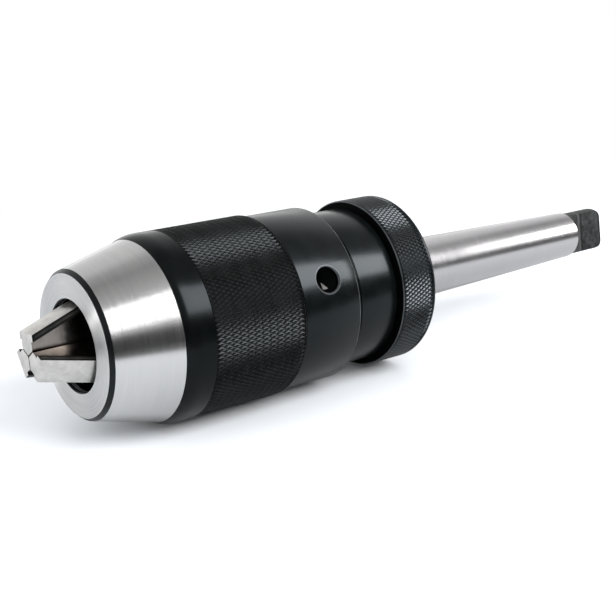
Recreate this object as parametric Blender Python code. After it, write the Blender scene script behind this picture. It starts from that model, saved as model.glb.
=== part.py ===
"""Keyless drill chuck on a tanged Morse taper 2 shank, with three converging jaws.

Metres, +Z up. The chuck turns about Y: the jaws point to -Y, the shank to +Y.
The origin is the centre of the taper's gauge line.
Stations are counted back along the axis from the front face of the hood.
Radial is X on a piece that is made before it is turned to its place.
"""
import math

import bmesh
import bpy

# Gap kept between pieces that touch, turn or slide
FIT = 0.0003

# Facets round the outside, round the inside pieces and round small pieces
OUTER_SEGMENTS = 64
INNER_SEGMENTS = 48
SMALL_SEGMENTS = 20

# Jaws: three in number, closed at rest
JAW_COUNT = 3
JAW_TURN = math.radians(97.4)
JAW_SLOPE = math.radians(20.0)
JAW_TIP = -0.0119
JAW_TIP_R = 0.0058
RAIL_W = 0.0071
RAIL_T = 0.0018
RAIL_END = 0.0100
BLADE_W = 0.0055
EDGE_W = 0.0005
TAIL_R = 0.0120
TAIL_END = 0.0282
TAIL_STEP = 0.0005
RELIEF_START = 0.0130
RELIEF_DEPTH = 0.0032
FOOT_IN = 0.0046
FOOT_OUT = 0.0115
FOOT_W = 0.0066
FOOT_T = 0.0034
FOOT_NECK_W = 0.0035
FOOT_NECK_LEN = 0.0036

# Hood: ground face and cone, rounded shoulder, grip
BODY_R = 0.0250
FACE_R = 0.0183
FACE_CHAMFER = 0.0010
SHOULDER_STEP = 0.0011
CONE_END = 0.0182
SHOULDER_LEN = 0.0045
HOOD_END = 0.0542
HOOD_WALL = 0.0034
HOOD_REAR_WALL = 0.0026
HOOD_EDGE = 0.0003
MOUTH_LAND = 0.0022
MOUTH_CHAMFER = 0.0004
HOOD_BORE_R = BODY_R - HOOD_WALL

# Jaw guide: slotted cone with a skirt behind it
GUIDE_START = 0.0060
GUIDE_BORE_R = 0.0070
GUIDE_WALL = 0.0020
GUIDE_OUTER_R = HOOD_BORE_R - FIT

# Rear sleeve: spigot, plain sleeve with a spanner hole, stepped neck
SPIGOT_LEN = 0.0072
SPIGOT_WALL = 0.0021
SLEEVE_INSET = 0.0006
SLEEVE_LEN = 0.0187
SLEEVE_CHAMFER = 0.0004
SLEEVE_FLOOR = 0.0022
NECK_STEP = 0.0024
NECK_LEN = 0.0148
NECK_CHAMFER = 0.0003
SPANNER_TURN = math.radians(26.6)
SPANNER_BACK = 0.0085
SPANNER_R = 0.0032
SPANNER_DEPTH = 0.0024
SPANNER_POINT = 0.0008
SPIGOT_R = BODY_R - HOOD_REAR_WALL - FIT
SLEEVE_BORE_R = SPIGOT_R - SPIGOT_WALL
SLEEVE_R = BODY_R - SLEEVE_INSET
NECK_R = SLEEVE_R - NECK_STEP
SLEEVE_START = HOOD_END + FIT
SPIGOT_START = SLEEVE_START - SPIGOT_LEN - FIT
GUIDE_END = SPIGOT_START - FIT
SLEEVE_END = SLEEVE_START + SLEEVE_LEN
SLEEVE_SHOULDER = SLEEVE_END - SLEEVE_FLOOR
NECK_END = SLEEVE_END + NECK_LEN

# Thrust bearing: two rings, a cage and twelve balls
BALL_COUNT = 12
BALL_R = 0.0020
RACE_W = 0.0064
RACE_T = 0.0020
RACE_OFFSET = 0.0016
CAGE_T = 0.0024
RACE_OUT = SLEEVE_BORE_R - FIT
RACE_IN = RACE_OUT - RACE_W
PITCH_R = (RACE_IN + RACE_OUT) / 2
BALL_TURN = math.pi / INNER_SEGMENTS
BALL_STATION = SLEEVE_SHOULDER - FIT - RACE_T - RACE_OFFSET

# Grip ring, and the dowel that keys it to the hub
RING_GAP = 0.0006
RING_INSET = 0.0003
RING_W = 0.0124
RING_CHAMFER = 0.0005
RING_ROUND = 0.0012
PIN_R = 0.0015
PIN_LEN = 0.0103
PIN_INSET = 0.0007
PIN_CHAMFER = 0.0003
PIN_TURN = math.radians(-80.0)
RING_R = SLEEVE_R - RING_INSET
RING_START = NECK_END + RING_GAP
RING_END = RING_START + RING_W
PIN_END = RING_END - PIN_INSET
PIN_START = PIN_END - PIN_LEN

# Arbor: collar, thrust flange, hub, taper and tang
COLLAR_LEN = 0.0021
FLANGE_T = 0.0042
FLANGE_GAP = 0.0004
HUB_EDGE = 0.0004
BORE_RELIEF = 0.0006
HUB_TO_GAUGE = 0.0210
TAPER_GAUGE_R = 0.00889
TAPER_SLOPE = 0.024975
TAPER_LEN = 0.0590
TANG_R = 0.0069
TANG_STEP = 0.0005
TANG_LEN = 0.0160
TANG_FLAT = 0.00315
TANG_FLAT_LEN = 0.0100
TANG_TURN = math.radians(10.0)
CUTTER_R = 0.0060
TANG_CORNER = 0.0012
CENTRE_R = 0.0020
HUB_R = RACE_IN - FIT
FLANGE_R = SLEEVE_BORE_R - FLANGE_GAP
FLANGE_END = BALL_STATION - RACE_OFFSET - RACE_T - FIT
FLANGE_START = FLANGE_END - FLANGE_T
ARBOR_START = FLANGE_START - COLLAR_LEN
HUB_END = RING_END + FIT
FACE_TO_GAUGE = HUB_END + HUB_TO_GAUGE
TAPER_END = FACE_TO_GAUGE + TAPER_LEN
TANG_END = TAPER_END + TANG_LEN
TANG_FLAT_START = TANG_END - TANG_FLAT_LEN

# Thrust screw: slotted head and threaded stem
HEAD_GAP = 0.00046
HEAD_WEB = 0.0025
HEAD_EDGE = 0.0003
STEM_R = 0.0070
STEM_LEN = 0.0321
SCREW_TRAVEL = 0.01784
HEAD_START = TAIL_END + FIT
HEAD_END = TAIL_END + FOOT_NECK_LEN + FOOT_T + FIT + HEAD_WEB
STEM_END = HEAD_END + STEM_LEN

# Bushing and dust seal between the hub and the neck
BUSHING_WALL = 0.0027
SEAL_T = 0.0025
SEAL_INSET = 0.0015
SEAL_GAP = 0.0010
SEAL_GROOVE = 0.0008
BUSHING_IN = HUB_R + FIT
BUSHING_OUT = BUSHING_IN + BUSHING_WALL
NECK_BORE_R = BUSHING_OUT + FIT
SEAL_END = NECK_END - SEAL_INSET
SEAL_START = SEAL_END - SEAL_T
BUSHING_START = SLEEVE_SHOULDER + FIT
BUSHING_END = SEAL_START - SEAL_GAP

# Looks: colour, roughness and metallic value of each kind of surface
GROUND_STEEL = ((0.56, 0.56, 0.55, 1.0), 0.32, 1.0)
BLACK_OXIDE = ((0.025, 0.028, 0.030, 1.0), 0.42, 0.6)
JAW_STEEL = ((0.30, 0.29, 0.27, 1.0), 0.38, 1.0)
BEARING_STEEL = ((0.62, 0.62, 0.62, 1.0), 0.18, 1.0)
BRONZE = ((0.52, 0.33, 0.14, 1.0), 0.40, 1.0)
RUBBER = ((0.02, 0.02, 0.02, 1.0), 0.80, 0.0)


def jaw_back(station):
    """Radius of the back of a closed jaw at a station."""
    return JAW_TIP_R + math.tan(JAW_SLOPE) * (station - JAW_TIP)


def station_of_back(radius):
    """Station where the back of a closed jaw reaches a radius."""
    return JAW_TIP + (radius - JAW_TIP_R) / math.tan(JAW_SLOPE)


def jaw_corner(station):
    """Radius of the outer corners of a closed jaw at a station."""
    return math.hypot(jaw_back(station), RAIL_W / 2)


def mouth_radius():
    """Radius of the hood's mouth, which clears the corners of the jaws."""
    return jaw_corner(MOUTH_LAND) + FIT


def guide_radius(station):
    """Outer radius of the jaw guide: a cone that follows the jaws, then a plain skirt."""
    return min(GUIDE_OUTER_R, jaw_back(station) + corner_room() - FIT)


def corner_room():
    """Radial room between the flat back of a jaw and the round bore that clears its corners."""
    return mouth_radius() - jaw_back(MOUTH_LAND)


def taper_radius(station):
    """Radius of the Morse taper at a station."""
    return TAPER_GAUGE_R + TAPER_SLOPE * (FACE_TO_GAUGE - station)


def arc(centre_r, centre_s, radius, start, stop, steps):
    """Points of an arc in the profile plane, at angles counted from outward to rearward."""
    points = []
    for step in range(steps + 1):
        angle = math.radians(start + (stop - start) * step / steps)
        points.append((centre_r + radius * math.cos(angle), centre_s + radius * math.sin(angle)))
    return points


def object_from(bm, name):
    """Make an object of a finished mesh, with its faces pointing out."""
    bmesh.ops.recalc_face_normals(bm, faces=bm.faces)
    mesh = bpy.data.meshes.new(name)
    bm.to_mesh(mesh)
    bm.free()
    part = bpy.data.objects.new(name, mesh)
    bpy.context.scene.collection.objects.link(part)
    return part


def turned(name, profile, segments):
    """Turn an outline of (radius, station) points about the axis into a solid."""
    bm = bmesh.new()
    corners = [bm.verts.new((radius, station - FACE_TO_GAUGE, 0.0)) for radius, station in profile]
    edges = [bm.edges.new(pair) for pair in zip(corners, corners[1:])]
    if profile[0][0] > 0.0:
        edges.append(bm.edges.new((corners[-1], corners[0])))
    bmesh.ops.spin(
        bm,
        geom=corners + edges,
        cent=(0.0, 0.0, 0.0),
        axis=(0.0, 1.0, 0.0),
        angle=math.tau,
        steps=segments,
        use_merge=True,
    )
    bmesh.ops.remove_doubles(bm, verts=bm.verts, dist=0.000001)
    return object_from(bm, name)


def lofted(name, sections):
    """Close the solid that runs through matching sections of (radial, station, across) points."""
    bm = bmesh.new()
    loops = []
    for section in sections:
        loops.append([bm.verts.new((x, station - FACE_TO_GAUGE, z)) for x, station, z in section])
    bm.faces.new(loops[0])
    bm.faces.new(loops[-1])
    for near, far in zip(loops, loops[1:]):
        for index in range(len(near)):
            after = (index + 1) % len(near)
            bm.faces.new((near[index], near[after], far[after], far[index]))
    return object_from(bm, name)


def combined(part, tool, operation):
    """Join a tool to a part or cut it away, then clear the tool."""
    step = part.modifiers.new(operation.lower(), "BOOLEAN")
    step.operation = operation
    step.solver = "EXACT"
    step.object = tool
    bpy.context.view_layer.update()
    graph = bpy.context.evaluated_depsgraph_get()
    result = bpy.data.meshes.new_from_object(part.evaluated_get(graph))
    result.name = part.name
    part.modifiers.clear()
    part.data = result
    bpy.data.objects.remove(tool)
    return part


def dressed(part, look):
    """Give a part its own material and smooth its round faces."""
    colour, roughness, metallic = look
    material = bpy.data.materials.new(part.name + "_finish")
    material.use_nodes = True
    shader = material.node_tree.nodes["Principled BSDF"]
    shader.inputs["Base Color"].default_value = colour
    shader.inputs["Roughness"].default_value = roughness
    shader.inputs["Metallic"].default_value = metallic
    part.data.materials.clear()
    part.data.materials.append(material)
    part.data.shade_smooth()
    part.data.set_sharp_from_angle(angle=math.radians(30.0))
    return part


def axis_empty(name, parent):
    """Mark a turning axis that pieces are parented to."""
    empty = bpy.data.objects.new(name, None)
    bpy.context.scene.collection.objects.link(empty)
    empty.empty_display_size = BODY_R
    empty.parent = parent
    return empty


def turn_to(part, angle):
    """Turn a part made along X to an angle counted from +X up to +Z."""
    part.rotation_euler = (0.0, -angle, 0.0)
    return part


def hood():
    """Outer front sleeve, its bore following the backs of the jaws."""
    mouth_r = mouth_radius()
    cone_r = BODY_R - SHOULDER_STEP
    profile = [
        (mouth_r, MOUTH_CHAMFER),
        (mouth_r + MOUTH_CHAMFER, 0.0),
        (FACE_R, 0.0),
        (FACE_R + FACE_CHAMFER, FACE_CHAMFER),
        (cone_r, CONE_END),
    ]
    for radial, station in arc(0.0, 0.0, 1.0, -60.0, 0.0, 4)[1:]:
        rise = (radial - 0.5) / 0.5
        run = (station + math.sin(math.radians(60.0))) / math.sin(math.radians(60.0))
        profile.append((cone_r + SHOULDER_STEP * rise, CONE_END + SHOULDER_LEN * run))
    profile += [
        (BODY_R, HOOD_END - HOOD_EDGE),
        (BODY_R - HOOD_EDGE, HOOD_END),
        (BODY_R - HOOD_REAR_WALL, HOOD_END),
        (BODY_R - HOOD_REAR_WALL, GUIDE_END),
        (HOOD_BORE_R, GUIDE_END),
        (HOOD_BORE_R, station_of_back(HOOD_BORE_R - corner_room())),
        (mouth_r, MOUTH_LAND),
    ]
    return dressed(turned("hood", profile, OUTER_SEGMENTS), BLACK_OXIDE)


def rear_sleeve():
    """Rear sleeve with its spigot, spanner hole and stepped neck."""
    profile = [
        (SLEEVE_BORE_R, SPIGOT_START),
        (SPIGOT_R, SPIGOT_START),
        (SPIGOT_R, SLEEVE_START),
        (SLEEVE_R, SLEEVE_START),
        (SLEEVE_R, SLEEVE_END - SLEEVE_CHAMFER),
        (SLEEVE_R - SLEEVE_CHAMFER, SLEEVE_END),
        (NECK_R, SLEEVE_END),
        (NECK_R, NECK_END - NECK_CHAMFER),
        (NECK_R - NECK_CHAMFER, NECK_END),
        (NECK_BORE_R, NECK_END),
        (NECK_BORE_R, SLEEVE_SHOULDER),
        (SLEEVE_BORE_R, SLEEVE_SHOULDER),
    ]
    sleeve = turned("rear_sleeve", profile, OUTER_SEGMENTS)
    return dressed(combined(sleeve, spanner_hole(), "DIFFERENCE"), BLACK_OXIDE)


def spanner_hole():
    """Cutter for the blind spanner hole, turned to its place on the sleeve."""
    bm = bmesh.new()
    floor = SLEEVE_R - SPANNER_DEPTH
    outline = [(0.0, BODY_R), (SPANNER_R, BODY_R), (SPANNER_R, floor), (0.0, floor - SPANNER_POINT)]
    corners = [bm.verts.new((height, 0.0, radius)) for radius, height in outline]
    edges = [bm.edges.new(pair) for pair in zip(corners, corners[1:])]
    bmesh.ops.spin(
        bm,
        geom=corners + edges,
        cent=(0.0, 0.0, 0.0),
        axis=(1.0, 0.0, 0.0),
        angle=math.tau,
        steps=SMALL_SEGMENTS,
        use_merge=True,
    )
    bmesh.ops.remove_doubles(bm, verts=bm.verts, dist=0.000001)
    hole = object_from(bm, "spanner_hole")
    hole.location = (0.0, SLEEVE_START + SPANNER_BACK - FACE_TO_GAUGE, 0.0)
    return turn_to(hole, SPANNER_TURN)


def jaw_guide():
    """Slotted guide that carries the jaws round inside the hood."""
    skirt_start = station_of_back(GUIDE_OUTER_R - corner_room() + FIT)
    profile = [
        (GUIDE_BORE_R, GUIDE_START),
        (guide_radius(GUIDE_START), GUIDE_START),
        (GUIDE_OUTER_R, skirt_start),
        (GUIDE_OUTER_R, GUIDE_END),
        (GUIDE_OUTER_R - GUIDE_WALL, GUIDE_END),
        (GUIDE_OUTER_R - GUIDE_WALL, max(skirt_start, TAIL_END)),
        (guide_radius(TAIL_END) - GUIDE_WALL, TAIL_END),
        (GUIDE_BORE_R, TAIL_END),
    ]
    guide = turned("jaw_guide", profile, INNER_SEGMENTS)
    for index in range(JAW_COUNT):
        slot = turn_to(jaw_slot(), JAW_TURN + index * math.tau / JAW_COUNT)
        combined(guide, slot, "DIFFERENCE")
    return dressed(guide, BLACK_OXIDE)


def jaw_slot():
    """Cutter for one inclined slot, narrow for the blade and wide for the rail."""
    blade = BLADE_W / 2 + FIT
    rail = RAIL_W / 2 + FIT
    below_rail = (RAIL_T + FIT) / math.cos(JAW_SLOPE)
    sections = []
    for station in (GUIDE_START - FIT, TAIL_END + FIT):
        ledge = jaw_back(station) - below_rail
        outline = [
            (GUIDE_BORE_R / 2, -blade),
            (GUIDE_BORE_R / 2, blade),
            (ledge, blade),
            (ledge, rail),
            (BODY_R, rail),
            (BODY_R, -rail),
            (ledge, -rail),
            (ledge, -blade),
        ]
        sections.append([(x, station, z) for x, z in outline])
    return lofted("jaw_slot", sections)


def jaw_foot(name, room):
    """T-shaped foot of a jaw, or with room round it the slot that it slides in."""
    neck = FOOT_NECK_W / 2 + room
    foot = FOOT_W / 2 + room
    neck_start = TAIL_END - TAIL_STEP
    foot_start = TAIL_END + FOOT_NECK_LEN - room
    foot_end = TAIL_END + FOOT_NECK_LEN + FOOT_T + room
    outline = [
        (neck_start, -neck),
        (foot_start, -neck),
        (foot_start, -foot),
        (foot_end, -foot),
        (foot_end, foot),
        (foot_start, foot),
        (foot_start, neck),
        (neck_start, neck),
    ]
    outer = FOOT_OUT if room == 0.0 else BODY_R
    inner = FOOT_IN - room
    return lofted(name, [[(x, station, z) for station, z in outline] for x in (inner, outer)])


def jaw(number, sleeve_axis):
    """One jaw: wedge edge, blade, rail along its back, tail and foot."""
    half_edge = EDGE_W / 2
    half_blade = BLADE_W / 2
    edge_x = (FIT / 2 + half_edge * math.cos(math.radians(60.0))) / math.sin(math.radians(60.0))
    flank = (half_blade - half_edge) / math.tan(math.radians(60.0))
    mid_rail = RAIL_T / 2 / math.cos(JAW_SLOPE)
    stations = [
        (JAW_TIP, edge_x, jaw_back(JAW_TIP) - mid_rail),
        (RAIL_END, edge_x, jaw_back(RAIL_END) - mid_rail),
        (RAIL_END + TAIL_STEP, edge_x, TAIL_R),
        (RELIEF_START, edge_x, TAIL_R),
        (RELIEF_START + RELIEF_DEPTH, edge_x + RELIEF_DEPTH, TAIL_R),
        (TAIL_END, edge_x + RELIEF_DEPTH, TAIL_R),
    ]
    sections = []
    for station, inner, outer in stations:
        outline = [
            (inner, -half_edge),
            (inner, half_edge),
            (inner + flank, half_blade),
            (outer, half_blade),
            (outer, -half_blade),
            (inner + flank, -half_blade),
        ]
        sections.append([(x, station, z) for x, z in outline])
    part = lofted("jaw_%d" % number, sections)
    combined(part, jaw_rail(), "UNION")
    combined(part, jaw_foot("foot", 0.0), "UNION")
    part.parent = sleeve_axis
    turn_to(part, JAW_TURN + (number - 1) * math.tau / JAW_COUNT)
    return dressed(part, JAW_STEEL)


def jaw_rail():
    """Wide rail along the back of a jaw."""
    under = RAIL_T / math.cos(JAW_SLOPE)
    sections = []
    for station in (JAW_TIP, RAIL_END):
        back = jaw_back(station)
        outline = [
            (back - under, -RAIL_W / 2),
            (back - under, RAIL_W / 2),
            (back, RAIL_W / 2),
            (back, -RAIL_W / 2),
        ]
        sections.append([(x, station, z) for x, z in outline])
    return lofted("rail", sections)


def thrust_screw(sleeve_axis):
    """Screw whose slotted head draws the jaws back and forth."""
    head_r = guide_radius(HEAD_START) - GUIDE_WALL - HEAD_GAP
    profile = [
        (0.0, HEAD_START),
        (head_r - HEAD_EDGE, HEAD_START),
        (head_r, HEAD_START + HEAD_EDGE),
        (head_r, HEAD_END - HEAD_EDGE),
        (head_r - HEAD_EDGE, HEAD_END),
        (STEM_R, HEAD_END),
        (STEM_R, STEM_END - HEAD_EDGE),
        (STEM_R - HEAD_EDGE, STEM_END),
        (0.0, STEM_END),
    ]
    screw = turned("thrust_screw", profile, INNER_SEGMENTS)
    for index in range(JAW_COUNT):
        slot = turn_to(jaw_foot("slot", FIT), JAW_TURN + index * math.tau / JAW_COUNT)
        combined(screw, slot, "DIFFERENCE")
    screw.parent = sleeve_axis
    return dressed(screw, BEARING_STEEL)


def arbor():
    """Body and shank in one piece, with the bore that the screw runs in."""
    bore = STEM_R + FIT
    bore_end = STEM_END + SCREW_TRAVEL + BORE_RELIEF
    drill_point = bore / 2
    fillet = HUB_END + HUB_EDGE
    root = taper_radius(HUB_END)
    rounding = arc(TANG_R - TANG_CORNER, TANG_END - TANG_CORNER, TANG_CORNER, 0.0, 90.0, 3)
    profile = [
        (0.0, bore_end + drill_point),
        (bore - drill_point, bore_end + drill_point),
        (bore, bore_end),
        (bore, ARBOR_START + HUB_EDGE),
        (bore + HUB_EDGE, ARBOR_START),
        (HUB_R - HUB_EDGE, ARBOR_START),
        (HUB_R, ARBOR_START + HUB_EDGE),
        (HUB_R, FLANGE_START),
        (FLANGE_R - HUB_EDGE, FLANGE_START),
        (FLANGE_R, FLANGE_START + HUB_EDGE),
        (FLANGE_R, FLANGE_END),
        (HUB_R, FLANGE_END),
        (HUB_R, HUB_END - HUB_EDGE),
        (HUB_R - HUB_EDGE, HUB_END),
        (root + HUB_EDGE, HUB_END),
        (root, fillet),
        (taper_radius(TAPER_END), TAPER_END),
        (TANG_R, TAPER_END + TANG_STEP),
    ]
    profile += rounding
    profile += [(CENTRE_R, TANG_END), (0.0, TANG_END - CENTRE_R * math.tan(math.radians(60.0)))]
    body = turned("arbor", profile, OUTER_SEGMENTS)
    for side in (1.0, -1.0):
        combined(body, tang_cutter(side), "DIFFERENCE")
    combined(body, pin_hole(), "DIFFERENCE")
    return dressed(body, GROUND_STEEL)


def tang_cutter(side):
    """Cutter for one flat of the tang, with the arc that the cutter runs out in."""
    centre = TANG_FLAT + CUTTER_R
    outline = [(TANG_FLAT, TANG_END + CUTTER_R)]
    for step in range(7):
        angle = math.radians(75.0 * step / 6)
        outline.append((centre - CUTTER_R * math.cos(angle), TANG_FLAT_START - CUTTER_R * math.sin(angle)))
    outline.append((centre + CUTTER_R, TANG_FLAT_START - CUTTER_R))
    outline.append((centre + CUTTER_R, TANG_END + CUTTER_R))
    wide = 2 * TANG_R
    tool = lofted("tang_cutter", [[(side * x, station, z) for x, station in outline] for z in (-wide, wide)])
    return turn_to(tool, TANG_TURN)


def pin_hole():
    """Cutter for the dowel hole, half in the hub and half in the grip ring."""
    reach = PIN_R + FIT
    profile = [(0.0, PIN_START - FIT), (reach, PIN_START - FIT), (reach, RING_END + reach), (0.0, RING_END + reach)]
    return place_pin(turned("pin_hole", profile, SMALL_SEGMENTS))


def place_pin(part):
    """Move a piece made on the axis out to the joint of hub and ring."""
    offset = HUB_R + FIT / 2
    part.location = (offset * math.cos(PIN_TURN), 0.0, offset * math.sin(PIN_TURN))
    return part


def grip_ring():
    """Knurled ring that is held still while the sleeve is turned."""
    rounding = arc(RING_R - RING_ROUND, RING_END - RING_ROUND, RING_ROUND, 0.0, 90.0, 4)
    profile = [(HUB_R + FIT, RING_START), (RING_R - RING_CHAMFER, RING_START), (RING_R, RING_START + RING_CHAMFER)]
    profile += rounding
    profile += [(HUB_R + FIT, RING_END)]
    ring = turned("grip_ring", profile, OUTER_SEGMENTS)
    return dressed(combined(ring, pin_hole(), "DIFFERENCE"), BLACK_OXIDE)


def grip_ring_pin():
    """Dowel that keys the grip ring to the hub."""
    profile = [
        (0.0, PIN_START),
        (PIN_R - PIN_CHAMFER, PIN_START),
        (PIN_R, PIN_START + PIN_CHAMFER),
        (PIN_R, PIN_END - PIN_CHAMFER),
        (PIN_R - PIN_CHAMFER, PIN_END),
        (0.0, PIN_END),
    ]
    pin = turned("grip_ring_pin", profile, SMALL_SEGMENTS)
    return dressed(place_pin(pin), BEARING_STEEL)


def race(name, side):
    """Ring of the thrust bearing, grooved for the balls, ahead of them or behind."""
    near = BALL_STATION + side * RACE_OFFSET
    far = near + side * RACE_T
    groove_r = BALL_R + FIT
    half = math.degrees(math.acos(RACE_OFFSET / groove_r))
    middle = 90.0 * side
    groove = arc(PITCH_R, BALL_STATION, groove_r, middle - half, middle + half, 5)
    if side > 0:
        groove.reverse()
    profile = [(RACE_IN, far), (RACE_IN, near)] + groove + [(RACE_OUT, near), (RACE_OUT, far)]
    return dressed(turned(name, profile, INNER_SEGMENTS), BEARING_STEEL)


def ball_cage(cage_axis):
    """Cage that spaces the balls round the bearing."""
    half = CAGE_T / 2
    profile = [
        (RACE_IN + FIT, BALL_STATION - half),
        (RACE_OUT - FIT, BALL_STATION - half),
        (RACE_OUT - FIT, BALL_STATION + half),
        (RACE_IN + FIT, BALL_STATION + half),
    ]
    cage = turned("ball_cage", profile, INNER_SEGMENTS)
    pocket_r = BALL_R + FIT
    for index in range(BALL_COUNT):
        pocket = turned(
            "pocket",
            [
                (0.0, BALL_STATION - CAGE_T),
                (pocket_r, BALL_STATION - CAGE_T),
                (pocket_r, BALL_STATION + CAGE_T),
                (0.0, BALL_STATION + CAGE_T),
            ],
            SMALL_SEGMENTS,
        )
        angle = BALL_TURN + index * math.tau / BALL_COUNT
        pocket.location = (PITCH_R * math.cos(angle), 0.0, PITCH_R * math.sin(angle))
        combined(cage, pocket, "DIFFERENCE")
    cage.parent = cage_axis
    return dressed(cage, BRONZE)


def balls(cage_axis):
    """Twelve balls on the pitch circle, one object each, sharing a mesh."""
    bm = bmesh.new()
    bmesh.ops.create_icosphere(bm, subdivisions=2, radius=BALL_R)
    first = dressed(object_from(bm, "ball_01"), BEARING_STEEL)
    for index in range(BALL_COUNT):
        ball = first
        if index:
            ball = bpy.data.objects.new("ball_%02d" % (index + 1), first.data)
            bpy.context.scene.collection.objects.link(ball)
        angle = BALL_TURN + index * math.tau / BALL_COUNT
        ball.location = (
            PITCH_R * math.cos(angle),
            BALL_STATION - FACE_TO_GAUGE,
            PITCH_R * math.sin(angle),
        )
        ball.parent = cage_axis


def sleeve_bushing():
    """Bronze bushing in the neck, running on the hub."""
    profile = [
        (BUSHING_IN, BUSHING_START),
        (BUSHING_OUT, BUSHING_START),
        (BUSHING_OUT, BUSHING_END),
        (BUSHING_IN, BUSHING_END),
    ]
    return dressed(turned("sleeve_bushing", profile, INNER_SEGMENTS), BRONZE)


def dust_seal():
    """Rubber ring behind the bushing, grooved on its rear face."""
    profile = [
        (BUSHING_IN, SEAL_START),
        (BUSHING_OUT, SEAL_START),
        (BUSHING_OUT, SEAL_END),
        (BUSHING_OUT - SEAL_GROOVE, SEAL_END),
        ((BUSHING_IN + BUSHING_OUT) / 2, SEAL_END - SEAL_GROOVE),
        (BUSHING_IN + SEAL_GROOVE, SEAL_END),
        (BUSHING_IN, SEAL_END),
    ]
    return dressed(turned("dust_seal", profile, INNER_SEGMENTS), RUBBER)


def main():
    """Build every piece in its place, with the jaws closed."""
    for old in list(bpy.data.objects):
        bpy.data.objects.remove(old, do_unlink=True)
    arbor()
    grip_ring()
    grip_ring_pin()
    race("front_race", -1.0)
    sleeve_axis = axis_empty("sleeve_axis", None)
    for part in (hood(), rear_sleeve(), jaw_guide(), race("rear_race", 1.0), sleeve_bushing(), dust_seal()):
        part.parent = sleeve_axis
    thrust_screw(sleeve_axis)
    for number in range(1, JAW_COUNT + 1):
        jaw(number, sleeve_axis)
    cage_axis = axis_empty("cage_axis", None)
    ball_cage(cage_axis)
    balls(cage_axis)


main()
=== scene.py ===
import math

import bpy
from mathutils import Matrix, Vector


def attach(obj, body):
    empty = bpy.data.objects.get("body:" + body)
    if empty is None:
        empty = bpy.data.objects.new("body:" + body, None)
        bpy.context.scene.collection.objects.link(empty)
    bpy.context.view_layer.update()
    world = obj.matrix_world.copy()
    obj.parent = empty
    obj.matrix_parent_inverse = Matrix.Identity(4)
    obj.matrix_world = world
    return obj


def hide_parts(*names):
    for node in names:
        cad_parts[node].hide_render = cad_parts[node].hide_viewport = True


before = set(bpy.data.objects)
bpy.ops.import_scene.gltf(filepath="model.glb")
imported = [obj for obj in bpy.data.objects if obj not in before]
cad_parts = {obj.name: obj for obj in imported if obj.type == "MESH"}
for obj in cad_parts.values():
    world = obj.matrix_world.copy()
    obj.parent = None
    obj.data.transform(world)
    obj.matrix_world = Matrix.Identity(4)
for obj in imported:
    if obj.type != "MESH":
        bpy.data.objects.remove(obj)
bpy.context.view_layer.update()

# The chuck turns about Y. Stations are metres back from the front face of the hood.
FACE_TO_GAUGE = 0.1223
AXIS_TURN = (math.pi / 2, 0.0, 0.0)

# Radii of the outside
HOOD_R = 0.0250
SLEEVE_R = 0.0244
NECK_R = 0.0220
RING_R = 0.0241

# Mouth: its radius, where it starts to widen, and the slope of the jaws that it widens at
MOUTH_R = 0.0118
MOUTH_LAND = 0.0023
JAW_TILT = math.radians(20.0)
JAW_SLOPE = math.tan(JAW_TILT)

# Ground nose: radius of its flat face, and its rear end
FACE_R = 0.0182
NOSE_END = 0.0182

# Shoulder behind the cone: a stretched arc of 60 degrees that rises to the hood's radius
SHOULDER_START = 0.01835
SHOULDER_END = 0.0227
SHOULDER_R = 0.0239
SHOULDER_RISE = 0.0011
SHOULDER_ARC = math.radians(60.0)
SHOULDER_STEPS = 8

# Knurled grips: where they start and end, and how many diamonds go round them
HOOD_GRIP_START = 0.0265
HOOD_GRIP_END = 0.0538
HOOD_DIAMONDS = 129
RING_GRIP_START = 0.0893
RING_GRIP_END = 0.0996
RING_DIAMONDS = 124

# Knurl: height of the blunt diamonds, width of their sloping sides and length along the axis
KNURL_HEIGHT = 0.00026
KNURL_SLOPE = 0.00038
KNURL_END_SLOPE = 0.00016
KNURL_PITCH = 0.00227

# Facets round the plain turned pieces
NOSE_FACETS = 192
TURNED_FACETS = 144
TANG_FACETS = 96

# Spanner hole: its station, its angle from +X up to +Z, its radius and that of its countersink
SPANNER_STATION = 0.0635
SPANNER_TURN = math.radians(26.6)
SPANNER_R = 0.0035
SPANNER_MOUTH_R = 0.0040

# Grip ring: its rear end and the radius of its rear corner
RING_END = 0.1010
RING_CORNER = 0.0012

# Shank: where the taper starts, its radius at the gauge line and its rise along the axis
TAPER_START = 0.1017
GAUGE_R = 0.00889
TAPER_RISE = 0.024975

# Tang: its ends, radius and corner, and its flats with the cutter that made them
TANG_START = 0.1813
TANG_END = 0.1973
TANG_R = 0.0069
TANG_CORNER = 0.0020
TANG_FLAT = 0.00315
TANG_TURN = math.radians(-10.0)
CUTTER_R = 0.0060

# Angle of the first jaw, from +X up to +Z
FIRST_JAW_TURN = 97.4

# What counts as nothing: between corners that merge, between a face and a limit, and in a scale
MERGE = 0.000002
CLOSE = 0.00001
NO_SCALE = 0.000001


# Modelling

def clear_selection():
    """Leave edit mode and select nothing."""
    if bpy.context.object and bpy.context.object.mode != "OBJECT":
        bpy.ops.object.mode_set(mode="OBJECT")
    bpy.ops.object.select_all(action="DESELECT")


def make_active(piece):
    """Select one piece alone."""
    clear_selection()
    piece.select_set(True)
    bpy.context.view_layer.objects.active = piece


def edit(piece, kind="FACE"):
    """Open one piece in edit mode with nothing selected."""
    make_active(piece)
    bpy.ops.object.mode_set(mode="EDIT")
    bpy.ops.mesh.select_mode(type=kind)
    bpy.ops.mesh.select_all(action="DESELECT")


def middle_and_corners(mesh, item):
    """Middle and corners of a face or edge."""
    corners = [mesh.vertices[index].co for index in item.vertices]
    return sum(corners, corners[0] * 0.0) / len(corners), corners


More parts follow.
